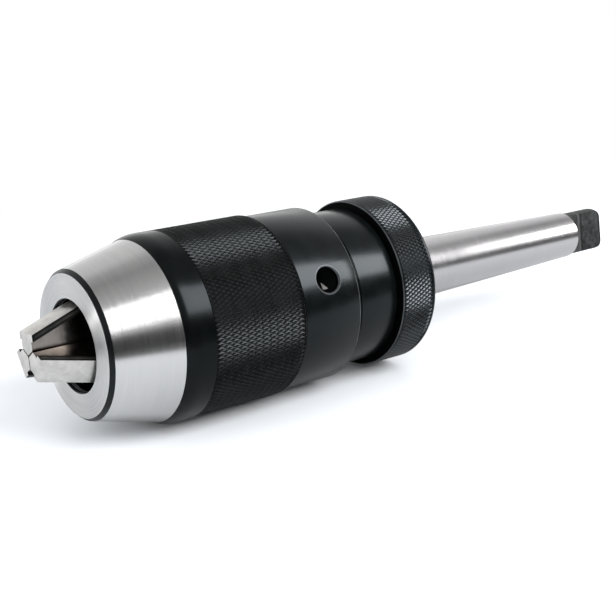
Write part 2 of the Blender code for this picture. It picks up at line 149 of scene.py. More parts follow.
def pick(piece, kind, wanted):
    """Select the faces or edges that pass a test, and go back to edit mode."""
    bpy.ops.object.mode_set(mode="OBJECT")
    mesh = piece.data
    for items in (mesh.vertices, mesh.edges, mesh.polygons):
        for item in items:
            item.select = False
    for item in mesh.polygons if kind == "FACE" else mesh.edges:
        if wanted(*middle_and_corners(mesh, item)):
            item.select = True
    bpy.ops.object.mode_set(mode="EDIT")
    bpy.ops.mesh.select_mode(type=kind)


def radius_and_station(point):
    """Distance of a point from the axis, and its station."""
    return math.hypot(point.x, point.z), point.y + FACE_TO_GAUGE


def turn_profile(name, profile, facets, solid=False):
    """Turn a piece: a circle on the axis is extruded and scaled from ring to ring."""
    clear_selection()
    radius, station = profile[0]
    bpy.ops.mesh.primitive_circle_add(
        vertices=facets,
        radius=radius,
        fill_type="NGON" if solid else "NOTHING",
        location=(0.0, station - FACE_TO_GAUGE, 0.0),
        rotation=AXIS_TURN,
    )
    piece = bpy.context.object
    piece.name = name
    piece.data.name = name
    bpy.ops.object.transform_apply(location=True, rotation=True, scale=True)
    bpy.ops.object.mode_set(mode="EDIT")
    bpy.ops.mesh.select_mode(type="FACE" if solid else "EDGE")
    bpy.ops.mesh.select_all(action="SELECT")
    for next_radius, next_station in profile[1:]:
        step = (0.0, next_station - station, 0.0)
        bpy.ops.mesh.extrude_region_move(TRANSFORM_OT_translate={"value": step})
        ratio = next_radius / radius
        if abs(ratio - 1.0) > NO_SCALE:
            middle = (0.0, next_station - FACE_TO_GAUGE, 0.0)
            bpy.ops.transform.resize(value=(ratio, 1.0, ratio), center_override=middle)
        radius, station = next_radius, next_station
    bpy.ops.mesh.select_all(action="SELECT")
    bpy.ops.mesh.remove_doubles(threshold=MERGE)
    bpy.ops.mesh.normals_make_consistent(inside=False)
    bpy.ops.object.mode_set(mode="OBJECT")
    return piece


def rounded(radius, station, size, start, stop, steps=5):
    """Points of a rounded corner, its angles counted from outward to rearward."""
    points = []
    for step in range(steps + 1):
        angle = math.radians(start + (stop - start) * step / steps)
        points.append((radius + size * math.cos(angle), station + size * math.sin(angle)))
    return points


def shade(piece, angle=32.0):
    """Shade round faces smooth and keep edges sharp."""
    make_active(piece)
    bpy.ops.object.shade_smooth_by_angle(angle=math.radians(angle))
    return piece


def ease_edges(piece, width, segments=2, angle=35.0):
    """Round the edges of a piece slightly."""
    make_active(piece)
    step = piece.modifiers.new("eased", "BEVEL")
    step.width = width
    step.segments = segments
    step.limit_method = "ANGLE"
    step.angle_limit = math.radians(angle)
    step.harden_normals = False
    bpy.ops.object.modifier_apply(modifier=step.name)
    return piece


def cut(piece, tool):
    """Cut a tool out of a piece and clear the tool."""
    make_active(piece)
    step = piece.modifiers.new("cut", "BOOLEAN")
    step.operation = "DIFFERENCE"
    step.solver = "EXACT"
    step.object = tool
    bpy.ops.object.modifier_apply(modifier=step.name)
    bpy.data.objects.remove(tool)
    return piece


def knurl(piece, start, end, radius):
    """Raise diamonds on the faces of a band: blunt pyramids between crossed grooves."""
    low = start - FACE_TO_GAUGE
    high = end - FACE_TO_GAUGE
    below = 0.0001

    def on_band(middle, corners):
        outside = min(math.hypot(corner.x, corner.z) for corner in corners) > radius - below
        inside = all(low - CLOSE < corner.y < high + CLOSE for corner in corners)
        return outside and inside

    def straight(middle, corners):
        if not on_band(middle, corners):
            return False
        along = abs(corners[0].y - corners[1].y)
        across = (corners[0] - corners[1]).length
        level = along < CLOSE
        lengthwise = across - along < CLOSE
        inner = low + CLOSE < middle.y < high - CLOSE
        return inner and (level or lengthwise)

    def raise_diamonds(sides, slope):
        def diamond(middle, corners):
            return len(corners) == sides and on_band(middle, corners)

        pick(piece, "FACE", diamond)
        bpy.ops.mesh.inset(thickness=slope, depth=KNURL_HEIGHT, use_individual=True)

    edit(piece)
    pick(piece, "FACE", on_band)
    bpy.ops.mesh.poke(offset=0.0)
    pick(piece, "EDGE", straight)
    bpy.ops.mesh.dissolve_edges(use_verts=False)
    raise_diamonds(4, KNURL_SLOPE)
    raise_diamonds(3, KNURL_END_SLOPE)
    bpy.ops.object.mode_set(mode="OBJECT")
    return piece


def copy_of_node(name, node, width):
    """Copy a solid, merge its corners and ease its edges."""
    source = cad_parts[node]
    piece = source.copy()
    piece.data = source.data.copy()
    for key in list(piece.keys()):
        del piece[key]
    piece.name = name
    piece.data.name = name
    piece.parent = None
    bpy.context.scene.collection.objects.link(piece)
    make_active(piece)
    bpy.ops.object.mode_set(mode="EDIT")
    bpy.ops.mesh.select_all(action="SELECT")
    bpy.ops.mesh.remove_doubles(threshold=MERGE)
    bpy.ops.mesh.dissolve_limited(angle_limit=math.radians(0.5))
    bpy.ops.object.mode_set(mode="OBJECT")
    if "custom_normal" in piece.data.attributes:
        piece.data.attributes.remove(piece.data.attributes["custom_normal"])
    if width:
        ease_edges(piece, width)
    return shade(piece)


def paint(piece, *materials):
    """Give a piece its materials in order."""
    piece.data.materials.clear()
    for material in materials:
        piece.data.materials.append(material)
    return piece


def paint_faces(piece, material, wanted):
    """Give one of a piece's materials to the faces whose middle passes a test."""
    index = piece.data.materials.find(material.name)
    for face in piece.data.polygons:
        if wanted(middle_and_corners(piece.data, face)[0]):
            face.material_index = index
    return piece


def place(piece, body, finish, *nodes):
    """Fix a piece to its body and let it stand for its solids."""
    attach(piece, body)
    if nodes:
        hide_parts(*nodes)
    return piece


# Materials

# Sockets of the Mix node when it mixes colours
MIX_AMOUNT = 0
MIX_BELOW = 6
MIX_ABOVE = 7
MIX_RESULT = 2

# How far a turning mark drifts off its circle, in metres for each radian
MARK_DRIFT = 0.0004


def add_node(tree, kind, **values):
    """Add a node to a tree and set its properties."""
    node = tree.nodes.new(kind)
    for key, value in values.items():
        setattr(node, key, value)
    return node


def feed(tree, value, socket):
    """Give a socket a plain value or the output of another node."""
    if isinstance(value, bpy.types.NodeSocket):
        tree.links.new(value, socket)
    else:
        socket.default_value = value


def new_material(name):
    """A material with its node tree and its shader."""
    material = bpy.data.materials.new(name)
    material.use_nodes = True
    tree = material.node_tree
    return material, tree, tree.nodes["Principled BSDF"]


def object_place(tree):
    """Place on the chuck, in metres."""
    return add_node(tree, "ShaderNodeTexCoord").outputs["Object"]


def combine(tree, operation, first, second):
    """Add, multiply or compare two values."""
    node = add_node(tree, "ShaderNodeMath", operation=operation)
    feed(tree, first, node.inputs[0])
    feed(tree, second, node.inputs[1])
    return node.outputs[0]


def weighted_length(tree, vector, weights):
    """Length of a vector after each of its parts is weighted."""
    weighted = add_node(tree, "ShaderNodeVectorMath", operation="MULTIPLY")
    feed(tree, vector, weighted.inputs[0])
    feed(tree, weights, weighted.inputs[1])
    length = add_node(tree, "ShaderNodeVectorMath", operation="LENGTH")
    feed(tree, weighted.outputs[0], length.inputs[0])
    return length.outputs["Value"]


def distance_from_axis(tree, vector):
    """Distance of the surface from the axis."""
    return weighted_length(tree, vector, (1.0, 0.0, 1.0))


def noise(tree, vector, scale, detail, roughness=0.5):
    """Even cloudy pattern."""
    node = add_node(tree, "ShaderNodeTexNoise")
    feed(tree, vector, node.inputs["Vector"])
    feed(tree, scale, node.inputs["Scale"])
    feed(tree, detail, node.inputs["Detail"])
    feed(tree, roughness, node.inputs["Roughness"])
    return node.outputs["Fac"]


def span(tree, source, low, high, start=0.3, stop=0.7, kind="LINEAR"):
    """Map a pattern onto a range of values."""
    node = add_node(tree, "ShaderNodeMapRange", interpolation_type=kind)
    feed(tree, start, node.inputs["From Min"])
    feed(tree, stop, node.inputs["From Max"])
    feed(tree, low, node.inputs["To Min"])
    feed(tree, high, node.inputs["To Max"])
    feed(tree, source, node.inputs["Value"])
    return node.outputs["Result"]


def band(tree, source, start, stop, soft):
    """Mask that is one between two values and soft at both ends."""
    rise = span(tree, source, 0.0, 1.0, start - soft, start + soft)
    fall = span(tree, source, 1.0, 0.0, stop - soft, stop + soft)
    return combine(tree, "MULTIPLY", rise, fall)


def mix_colours(tree, amount, below, above):
    """Mix two colours by a mask; each is a colour or the output of a node."""
    node = add_node(tree, "ShaderNodeMix", data_type="RGBA")
    feed(tree, amount, node.inputs[MIX_AMOUNT])
    for number, colour in ((MIX_BELOW, below), (MIX_ABOVE, above)):
        opaque = (*colour, 1.0) if isinstance(colour, tuple) else colour
        feed(tree, opaque, node.inputs[number])
    return node.outputs[MIX_RESULT]


def emboss(tree, shader, height, strength, distance):
    """Raise a pattern a little in the surface."""
    relief = add_node(tree, "ShaderNodeBump")
    feed(tree, strength, relief.inputs["Strength"])
    feed(tree, distance, relief.inputs["Distance"])
    feed(tree, height, relief.inputs["Height"])
    feed(tree, relief.outputs["Normal"], shader.inputs["Normal"])


def turning_marks():
    """Node group: fine marks that run round the axis, and soft patches."""
    group = bpy.data.node_groups.new("turning_marks", "ShaderNodeTree")
    face = group.interface
    face.new_socket("Fineness", in_out="INPUT", socket_type="NodeSocketFloat")
    face.new_socket("Marks", in_out="OUTPUT", socket_type="NodeSocketFloat")
    face.new_socket("Patches", in_out="OUTPUT", socket_type="NodeSocketFloat")
    entry = add_node(group, "NodeGroupInput")
    leave = add_node(group, "NodeGroupOutput")
    where = object_place(group)
    split = add_node(group, "ShaderNodeSeparateXYZ")
    feed(group, where, split.inputs[0])
    around = combine(group, "ARCTAN2", split.outputs["Z"], split.outputs["X"])
    line = add_node(group, "ShaderNodeCombineXYZ")
    feed(group, distance_from_axis(group, where), line.inputs["X"])
    feed(group, split.outputs["Y"], line.inputs["Y"])
    feed(group, combine(group, "MULTIPLY", around, MARK_DRIFT), line.inputs["Z"])
    marks = noise(group, line.outputs[0], entry.outputs["Fineness"], 4.0, 0.65)
    feed(group, marks, leave.inputs["Marks"])
    feed(group, noise(group, where, 90.0, 3.0), leave.inputs["Patches"])
    return group


MARKS = turning_marks()


def ground_steel(name, dark, light, fineness, smooth, rough, groove, stretch=0.0):
    """Bare steel ground round its axis."""
    material, tree, shader = new_material(name)
    group = add_node(tree, "ShaderNodeGroup", node_tree=MARKS)
    feed(tree, fineness, group.inputs["Fineness"])
    marks = group.outputs["Marks"]
    amount = span(tree, marks, 0.0, 1.0)
    feed(tree, mix_colours(tree, amount, dark, light), shader.inputs["Base Color"])
    lined = span(tree, marks, 0.0, rough - smooth)
    patched = span(tree, group.outputs["Patches"], smooth, smooth + 0.04)
    feed(tree, combine(tree, "ADD", lined, patched), shader.inputs["Roughness"])
    emboss(tree, shader, marks, 0.25, groove)
    feed(tree, 1.0, shader.inputs["Metallic"])
    if stretch:
        tangent = add_node(tree, "ShaderNodeTangent", direction_type="RADIAL", axis="Y")
        feed(tree, stretch, shader.inputs["Anisotropic"])
        feed(tree, 0.25, shader.inputs["Anisotropic Rotation"])
        feed(tree, tangent.outputs[0], shader.inputs["Tangent"])
    return material


def painted_lip_highlight(tree, where, below):
    """Lighter ring painted round the mouth of the spanner hole: a painted highlight on its edge."""
    mouth = (
        SLEEVE_R * math.cos(SPANNER_TURN),
        SPANNER_STATION - FACE_TO_GAUGE,
        SLEEVE_R * math.sin(SPANNER_TURN),
    )
    reach = add_node(tree, "ShaderNodeVectorMath", operation="DISTANCE")
    feed(tree, where, reach.inputs[0])
    feed(tree, mouth, reach.inputs[1])
    inner = span(tree, reach.outputs["Value"], 0.0, 1.0, 0.0036, 0.0038)
    outer = span(tree, reach.outputs["Value"], 1.0, 0.0, 0.0039, 0.0042)
    return mix_colours(tree, combine(tree, "MULTIPLY", inner, outer), below, (0.045, 0.047, 0.050))


def shine_of_knurl(tree, where, tips):
    """Mask of a knurl whose tips lie at a radius: its slopes shine more than its floor and tips."""
    radius = distance_from_axis(tree, where)
    floor = tips - KNURL_HEIGHT
    slope = span(tree, radius, 0.15, 0.80, floor + 0.00001, floor + 0.00008)
    tip = span(tree, radius, 1.0, 0.16, tips - 0.00004, tips - 0.00002)
    return combine(tree, "MULTIPLY", slope, tip)


def black_oxide(name, dark, light, smooth, rough, ior, grain=0.000002, tips=0.0, lip=False):
    """Satin black oxide on turned steel, where asked for a knurl with tips at a radius or a lighter ring
    painted round the spanner hole as a highlight.
    """
    material, tree, shader = new_material(name)
    where = object_place(tree)
    mottle = noise(tree, where, 260.0, 5.0)
    group = add_node(tree, "ShaderNodeGroup", node_tree=MARKS)
    feed(tree, 5200.0, group.inputs["Fineness"])
    colour = mix_colours(tree, span(tree, mottle, 0.0, 1.0), dark, light)
    # A lighter ring is painted round the spanner hole as a highlight.
    if lip:
        colour = painted_lip_highlight(tree, where, colour)
    feed(tree, colour, shader.inputs["Base Color"])
    lined = span(tree, group.outputs["Marks"], 0.0, (rough - smooth) / 2)
    mottled = span(tree, mottle, smooth, (rough + smooth) / 2)
    feed(tree, combine(tree, "ADD", lined, mottled), shader.inputs["Roughness"])
    emboss(tree, shader, noise(tree, where, 4200.0, 2.0), 0.3, grain)
    feed(tree, 0.0, shader.inputs["Metallic"])
    feed(tree, ior, shader.inputs["IOR"])
    feed(tree, (0.85, 0.94, 1.0, 1.0), shader.inputs["Specular Tint"])
    if tips:
        feed(tree, shine_of_knurl(tree, where, tips), shader.inputs["Specular IOR Level"])
    return material


def fine_grained(name, dark, light, smooth, rough, grain, metal=1.0):
    """Hardened steel, bronze or rubber with an even fine grain."""
    material, tree, shader = new_material(name)
    where = object_place(tree)
    stain = noise(tree, where, 420.0, 7.0, 0.65)
    amount = span(tree, stain, 0.0, 1.0)
    feed(tree, mix_colours(tree, amount, dark, light), shader.inputs["Base Color"])
    feed(tree, span(tree, stain, smooth, rough), shader.inputs["Roughness"])
    emboss(tree, shader, noise(tree, where, 2600.0, 3.0), 0.3, grain)
    feed(tree, metal, shader.inputs["Metallic"])
    return material


def forged_skin_and_painted_shade(name):
    """Dark mottled skin of the tang, with a light line at the flat's start, a painted shadow line beside
    it, and its rounded end painted darker as shade.
    """
    material, tree, shader = new_material(name)
    where = object_place(tree)
    split = add_node(tree, "ShaderNodeSeparateXYZ")
    feed(tree, where, split.inputs[0])
    along = split.outputs["Y"]
    mottle = noise(tree, where, 620.0, 6.0, 0.62)
    amount = span(tree, mottle, 0.0, 1.0, 0.35, 0.66)
    skin = mix_colours(tree, amount, (0.0015, 0.0017, 0.0018), (0.024, 0.026, 0.026))
    light_line = band(tree, along, 0.0637, 0.0648, 0.0003)
    # Painted shade: a dark line beside the light line, and the rounded end darker.
    painted_shadow_line = band(tree, along, 0.0651, 0.0657, 0.0002)
    painted_shade_end = band(tree, along, 0.0743, 0.0760, 0.0002)
    skin = mix_colours(tree, light_line, skin, (0.035, 0.035, 0.035))
    skin = mix_colours(tree, painted_shadow_line, skin, (0.0008, 0.0008, 0.0008))
    skin = mix_colours(tree, painted_shade_end, skin, (0.002, 0.002, 0.002))
    feed(tree, skin, shader.inputs["Base Color"])
    feed(tree, span(tree, mottle, 0.38, 0.58), shader.inputs["Roughness"])
    emboss(tree, shader, mottle, 0.5, 0.00010)
    feed(tree, 0.0, shader.inputs["Metallic"])
    feed(tree, 1.26, shader.inputs["IOR"])
    return material


GROUND_NOSE = ground_steel(
    "ground_nose", dark=(0.53, 0.53, 0.53), light=(0.585, 0.585, 0.58),
    fineness=3000.0, smooth=0.17, rough=0.23, groove=0.000003, stretch=0.6,
)
GROUND_FACE = ground_steel(
    "ground_face", dark=(0.52, 0.52, 0.52), light=(0.68, 0.68, 0.675),
    fineness=2200.0, smooth=0.34, rough=0.44, groove=0.000008, stretch=0.95,
)
GROUND_SHANK = ground_steel(
    "ground_shank", dark=(0.53, 0.52, 0.53), light=(0.61, 0.60, 0.61),
    fineness=2600.0, smooth=0.19, rough=0.24, groove=0.000003,
)
HOOD_OXIDE = black_oxide(
    "hood_oxide", dark=(0.0007, 0.0010, 0.0010), light=(0.0014, 0.0018, 0.0018),
    smooth=0.18, rough=0.24, ior=1.245,
)
OXIDE = black_oxide(
    "sleeve_oxide", dark=(0.0018, 0.0025, 0.0028), light=(0.004, 0.0052, 0.0056),
    smooth=0.20, rough=0.26, ior=1.30,
)
# The sleeve's oxide carries a lighter ring painted round the spanner hole as a highlight.
SLEEVE_OXIDE = black_oxide(
    "sleeve_painted_lip", dark=(0.0010, 0.0014, 0.0016), light=(0.0022, 0.0029, 0.0031),
    smooth=0.19, rough=0.25, ior=1.32, lip=True,
)
HOOD_KNURL = black_oxide(
    "hood_knurl", dark=(0.0015, 0.0016, 0.0015), light=(0.0040, 0.0042, 0.0041),
    smooth=0.24, rough=0.34, ior=1.225, grain=0.000004, tips=HOOD_R,
)
RING_KNURL = black_oxide(
    "ring_knurl", dark=(0.0015, 0.0018, 0.0020), light=(0.004, 0.0048, 0.0052),
    smooth=0.20, rough=0.29, ior=1.43, grain=0.000004, tips=RING_R,
)
# Lighter oxide for edge chamfers and the hole's countersink: a painted highlight.
DIM_PAINTED_HIGHLIGHT = black_oxide(
    "dim_painted_highlight", dark=(0.010, 0.011, 0.012), light=(0.026, 0.028, 0.030),
    smooth=0.24, rough=0.34, ior=1.60,
)
CHAMFER_OXIDE = black_oxide(
    "chamfer_oxide", dark=(0.0010, 0.0011, 0.0011), light=(0.0022, 0.0023, 0.0023),
    smooth=0.26, rough=0.34, ior=1.31,
)
# Light grey paint for thin edges and the mouth's inner wall: a painted highlight.
BRIGHT_PAINTED_HIGHLIGHT = black_oxide(
    "bright_painted_highlight", dark=(0.05, 0.053, 0.055), light=(0.11, 0.115, 0.12),
    smooth=0.25, rough=0.35, ior=1.80,
)
# Near-black oxide that hardly reflects, for the spanner hole and the ring's front face: painted shade.
PAINTED_SHADE_OXIDE = black_oxide(
    "oxide_painted_shade", dark=(0.0004, 0.0005, 0.0005), light=(0.0009, 0.0010, 0.0010),
    smooth=0.30, rough=0.45, ior=1.06,
)
# Tang skin with a painted shadow line and painted shade at its rounded end.
TANG_SKIN_AND_SHADE = forged_skin_and_painted_shade("tang_skin_and_shade")
JAW_GROUND = fine_grained(
    "jaw_ground", dark=(0.44, 0.43, 0.41), light=(0.63, 0.62, 0.60),
    smooth=0.28, rough=0.40, grain=0.000012,
)
JAW_FLANK = fine_grained(
    "jaw_flank", dark=(0.16, 0.145, 0.132), light=(0.27, 0.245, 0.228),
    smooth=0.15, rough=0.22, grain=0.000003,
)
# Black for the borders of the jaws' rail sides and their inward faces: painted shade.
JAW_PAINTED_SHADE = black_oxide(
    "jaw_side", dark=(0.002, 0.002, 0.002), light=(0.008, 0.007, 0.006),
    smooth=0.25, rough=0.40, ior=1.25, grain=0.000006,
)
JAW_STREAK = black_oxide(
    "jaw_streak", dark=(0.008, 0.008, 0.007), light=(0.034, 0.033, 0.030),
    smooth=0.30, rough=0.45, ior=1.32, grain=0.000006,
)
BEARING = fine_grained(
    "bearing_steel", dark=(0.55, 0.55, 0.55), light=(0.66, 0.66, 0.66),
    smooth=0.14, rough=0.24, grain=0.000002,
)
BRONZE = fine_grained(
    "bronze", dark=(0.42, 0.27, 0.11), light=(0.56, 0.37, 0.16),
    smooth=0.30, rough=0.45, grain=0.000006,
)
SEAL = fine_grained(
    "seal_rubber", dark=(0.012, 0.012, 0.012), light=(0.030, 0.030, 0.030),
    smooth=0.65, rough=0.85, grain=0.00001, metal=0.0,
)


# Hood

def inner_cone(station):
    """Radius of the hollow behind the mouth, which widens at the slope of the jaws."""
    return MOUTH_R + JAW_SLOPE * (station - MOUTH_LAND)


def hood_nose():
    """Ground face and cone at the front, with the black chamfer between them."""
    profile = [
        (FACE_R, 0.0),
        (0.0184, 0.00005),
        (0.01925, 0.00095),
        (0.01935, 0.0012),
        (0.0238, 0.0180),
        (0.02386, 0.01812),
        (0.02380, NOSE_END),
        (0.0196, NOSE_END),
        (inner_cone(NOSE_END), NOSE_END),
        (MOUTH_R, MOUTH_LAND),
        (MOUTH_R, 0.0018),
        (MOUTH_R, 0.0007),
        (MOUTH_R, 0.0004),
        (0.01185, 0.0003),
        (0.01215, 0.00002),
        (0.01225, 0.0),
        (FACE_R, 0.0),
    ]
    nose = turn_profile("hood_nose", profile, NOSE_FACETS)
    paint(nose, GROUND_NOSE, HOOD_OXIDE, GROUND_FACE, BRIGHT_PAINTED_HIGHLIGHT, CHAMFER_OXIDE)

    def bore(middle):
        radius, station = radius_and_station(middle)
        return radius < inner_cone(max(station, MOUTH_LAND)) + 0.0002 and station > 0.0001

    def chamfer(middle):
        radius, station = radius_and_station(middle)
        return 0.0183 < radius < 0.0194 and station < 0.0011

    def inner_edge(middle):
        radius, station = radius_and_station(middle)
        return radius < 0.0130 and 0.0008 < station < 0.0018

    def front_face(middle):
        return radius_and_station(middle)[1] < CLOSE

    paint_faces(nose, HOOD_OXIDE, bore)
    paint_faces(nose, CHAMFER_OXIDE, chamfer)
    # A band of the mouth's inner wall is painted light grey as a highlight.
    paint_faces(nose, BRIGHT_PAINTED_HIGHLIGHT, inner_edge)
    paint_faces(nose, GROUND_FACE, front_face)
    shade(nose, 28.0)
    return place(nose, "sleeve", "ground_steel", "hood")


def grip_rows(start, end, valley):
    """Points along the floor of a knurl, one to each row of diamonds."""
    rows = round((end - start) / KNURL_PITCH)
    return [(valley, start + (end - start) * row / rows) for row in range(1, rows + 1)]


def hood_shell():
    """Black shoulder and knurled grip behind the cone."""
    start = 0.0183
    inner = 0.0216
    valley = HOOD_R - KNURL_HEIGHT
    profile = [(inner, start), (0.0238, start)]
    for step in range(SHOULDER_STEPS + 1):
        angle = -SHOULDER_ARC + SHOULDER_ARC * step / SHOULDER_STEPS
        rise = (math.cos(angle) - math.cos(SHOULDER_ARC)) / (1.0 - math.cos(SHOULDER_ARC))
        run = (math.sin(angle) + math.sin(SHOULDER_ARC)) / math.sin(SHOULDER_ARC)
        station = SHOULDER_START + (SHOULDER_END - SHOULDER_START) * run
        profile.append((SHOULDER_R + SHOULDER_RISE * rise, station))
    profile += [(HOOD_R, 0.02638), (0.02496, 0.02644), (valley, HOOD_GRIP_START)]
    profile += grip_rows(HOOD_GRIP_START, HOOD_GRIP_END, valley)
    profile += [
        (0.02494, 0.05386),
        (0.0249, 0.05396),
        (0.0247, 0.0542),
        (0.0224, 0.0542),
        (0.0224, 0.0467),
        (inner, 0.0467),
        (inner, 0.0292),
        (inner_cone(start), start),
        (inner, start),
    ]
    shell = turn_profile("hood_shell", profile, HOOD_DIAMONDS)
    knurl(shell, HOOD_GRIP_START, HOOD_GRIP_END, valley)
    paint(shell, HOOD_OXIDE, HOOD_KNURL)

    def gripped(middle):
        radius, station = radius_and_station(middle)
        return radius > 0.0245 and HOOD_GRIP_START < station < HOOD_GRIP_END

    paint_faces(shell, HOOD_KNURL, gripped)
    shade(shell, 30.0)
    return place(shell, "sleeve", "black_oxide_steel", "hood")


# Rear sleeve

def rear_sleeve():
    """Plain sleeve with its spanner hole and stepped neck."""
    inner = 0.0200
    spigot = 0.0221
    groove_floor = 0.0218
    bore = 0.0163
    start = 0.0470
    end = 0.0880
    profile = [
        (inner, start),
        (spigot, start),
        (spigot, 0.0545),
        (0.0242, 0.0545),
        (SLEEVE_R, 0.0547),
        (SLEEVE_R, 0.0725),
        (0.02434, 0.07262),
        (0.0240, 0.0732),
        (groove_floor, 0.0732),
        (groove_floor, 0.0751),
        (NECK_R, 0.0753),
        (NECK_R, 0.08765),
        (0.02195, 0.0878),
        (0.0218, end),
        (bore, end),
        (bore, 0.0710),
        (inner, 0.0710),
        (inner, start),
    ]
    sleeve = turn_profile("sleeve_shell", profile, TURNED_FACETS)
    cut(sleeve, spanner_drill())
    paint(sleeve, SLEEVE_OXIDE, HOOD_OXIDE, PAINTED_SHADE_OXIDE, BRIGHT_PAINTED_HIGHLIGHT, JAW_GROUND, DIM_PAINTED_HIGHLIGHT)
    floor = 0.0205

    def edge(middle):
        radius, station = radius_and_station(middle)
        return 0.0243 < radius < SLEEVE_R and 0.0725 < station < 0.07262

    def from_hole(middle):
        across = middle.z * math.cos(SPANNER_TURN) - middle.x * math.sin(SPANNER_TURN)
        out = middle.x * math.cos(SPANNER_TURN) + middle.z * math.sin(SPANNER_TURN)
        back = middle.y + FACE_TO_GAUGE - SPANNER_STATION
        return across, back, out

    def hole(middle):
        across, back, out = from_hole(middle)
        radius = radius_and_station(middle)[0]
        return radius < 0.0242 and math.hypot(across, back) < SPANNER_R + 0.00002 and out > floor

    def painted_glint_spot(middle):
        across, back, out = from_hole(middle)
        near = math.hypot(across, back) < 0.0016 and floor < out < 0.0222
        return near and across < 0.0 and -0.45 < back / -across < 0.35

    def rim(middle):
        across, back, out = from_hole(middle)
        radius = radius_and_station(middle)[0]
        on_cone = SPANNER_R + 0.00002 < math.hypot(across, back) < 0.0039
        return on_cone and out > floor and radius < 0.02433

    def groove(middle):
        radius, station = radius_and_station(middle)
        return 0.0210 < radius < 0.02195 and 0.0732 < station < 0.0753

    # The sleeve's rear edge is painted light as a highlight.
    paint_faces(sleeve, BRIGHT_PAINTED_HIGHLIGHT, edge)
    # The inside of the spanner hole is painted near black as shade.
    paint_faces(sleeve, PAINTED_SHADE_OXIDE, hole)
    # A sector of the hole's floor is given bright ground steel to make a painted glint.
    paint_faces(sleeve, JAW_GROUND, painted_glint_spot)
    # The countersink round the hole is painted lighter as a highlight.
    paint_faces(sleeve, DIM_PAINTED_HIGHLIGHT, rim)
    # The neck's groove takes the hood's darker oxide as painted shade.
    paint_faces(sleeve, HOOD_OXIDE, groove)
    shade(sleeve, 28.0)
    return place(sleeve, "sleeve", "black_oxide_steel", "rear_sleeve")


def spanner_drill():
    """Drill for the blind spanner hole, with a countersink at its mouth."""
    clear_selection()
    radius = 0.00005
    height = 0.0207
    steps = [
        (0.0022, 0.0220),
        (SPANNER_R, 0.0228),
        (SPANNER_R, 0.0239),
        (SPANNER_MOUTH_R, 0.0245),
        (0.0070, 0.0280),
    ]
    bpy.ops.mesh.primitive_circle_add(
        vertices=48, radius=radius, fill_type="NGON", location=(0.0, 0.0, height)
    )
    drill = bpy.context.object
    bpy.ops.object.mode_set(mode="EDIT")
    bpy.ops.mesh.select_all(action="SELECT")
    for next_radius, next_height in steps:
        step = (0.0, 0.0, next_height - height)
        bpy.ops.mesh.extrude_region_move(TRANSFORM_OT_translate={"value": step})
        ratio = next_radius / radius
        middle = (0.0, 0.0, next_height)
        bpy.ops.transform.resize(value=(ratio, ratio, 1.0), center_override=middle)
        radius, height = next_radius, next_height
    bpy.ops.mesh.select_all(action="SELECT")
    bpy.ops.mesh.normals_make_consistent(inside=False)
    bpy.ops.object.mode_set(mode="OBJECT")
    bpy.ops.object.transform_apply(location=True, rotation=True, scale=True)
    drill.location = (0.0, SPANNER_STATION - FACE_TO_GAUGE, 0.0)
    drill.rotation_euler = (0.0, math.pi / 2 - SPANNER_TURN, 0.0)
    bpy.ops.object.transform_apply(location=True, rotation=True, scale=True)
    return drill


# Grip ring

def grip_ring():
    """Knurled ring that is held still, with a round rear corner; its front edge is painted lighter as a
    highlight and its front face near black as shade.
    """
    front_end = 0.0886
    bore = 0.0133
    valley = RING_R - KNURL_HEIGHT
    profile = [
        (bore, front_end),
        (0.0237, front_end),
        (0.02375, 0.08862),
        (0.02402, 0.08889),
        (0.02405, 0.08895),
        (valley, RING_GRIP_START),
    ]
    profile += grip_rows(RING_GRIP_START, RING_GRIP_END, valley)
    profile.append((0.02405, 0.0997))
    profile += rounded(RING_R - RING_CORNER, RING_END - RING_CORNER, RING_CORNER, 10.0, 90.0, 7)
    profile += [(bore, RING_END), (bore, front_end)]
    ring = turn_profile("grip_ring_shell", profile, RING_DIAMONDS)
    knurl(ring, RING_GRIP_START, RING_GRIP_END, valley)
    cut(ring, pin_drill())
    paint(ring, OXIDE, RING_KNURL, DIM_PAINTED_HIGHLIGHT, PAINTED_SHADE_OXIDE)

    def gripped(middle):
        radius, station = radius_and_station(middle)
        return radius > 0.0236 and 0.0892 < station < 0.0997

    def edge(middle):
        radius, station = radius_and_station(middle)
        return 0.02372 < radius < 0.0240 and station < 0.0889

    def front(middle):
        radius, station = radius_and_station(middle)
        return radius < 0.0237 and station < front_end + CLOSE

    paint_faces(ring, RING_KNURL, gripped)
    # The ring's front chamfer is painted lighter as a highlight.
    paint_faces(ring, DIM_PAINTED_HIGHLIGHT, edge)
    # The ring's front face is painted near black as shade.
    paint_faces(ring, PAINTED_SHADE_OXIDE, front)
    shade(ring, 30.0)
    return place(ring, "arbor", "black_oxide_steel", "grip_ring")


def pin_drill():
    """Drill for the dowel hole between the hub and the ring."""
    clear_selection()
    turn = math.radians(-80.0)
    reach = 0.01315
    station = 0.0975
    middle = (reach * math.cos(turn), station - FACE_TO_GAUGE, reach * math.sin(turn))
    bpy.ops.mesh.primitive_cylinder_add(
        vertices=32, radius=0.0018, depth=0.0156, location=middle, rotation=AXIS_TURN
    )
    bpy.ops.object.transform_apply(location=True, rotation=True, scale=True)
    return bpy.context.object


# Arbor

def taper(station):
    """Radius of the taper at a station."""
    return GAUGE_R + TAPER_RISE * (FACE_TO_GAUGE - station)


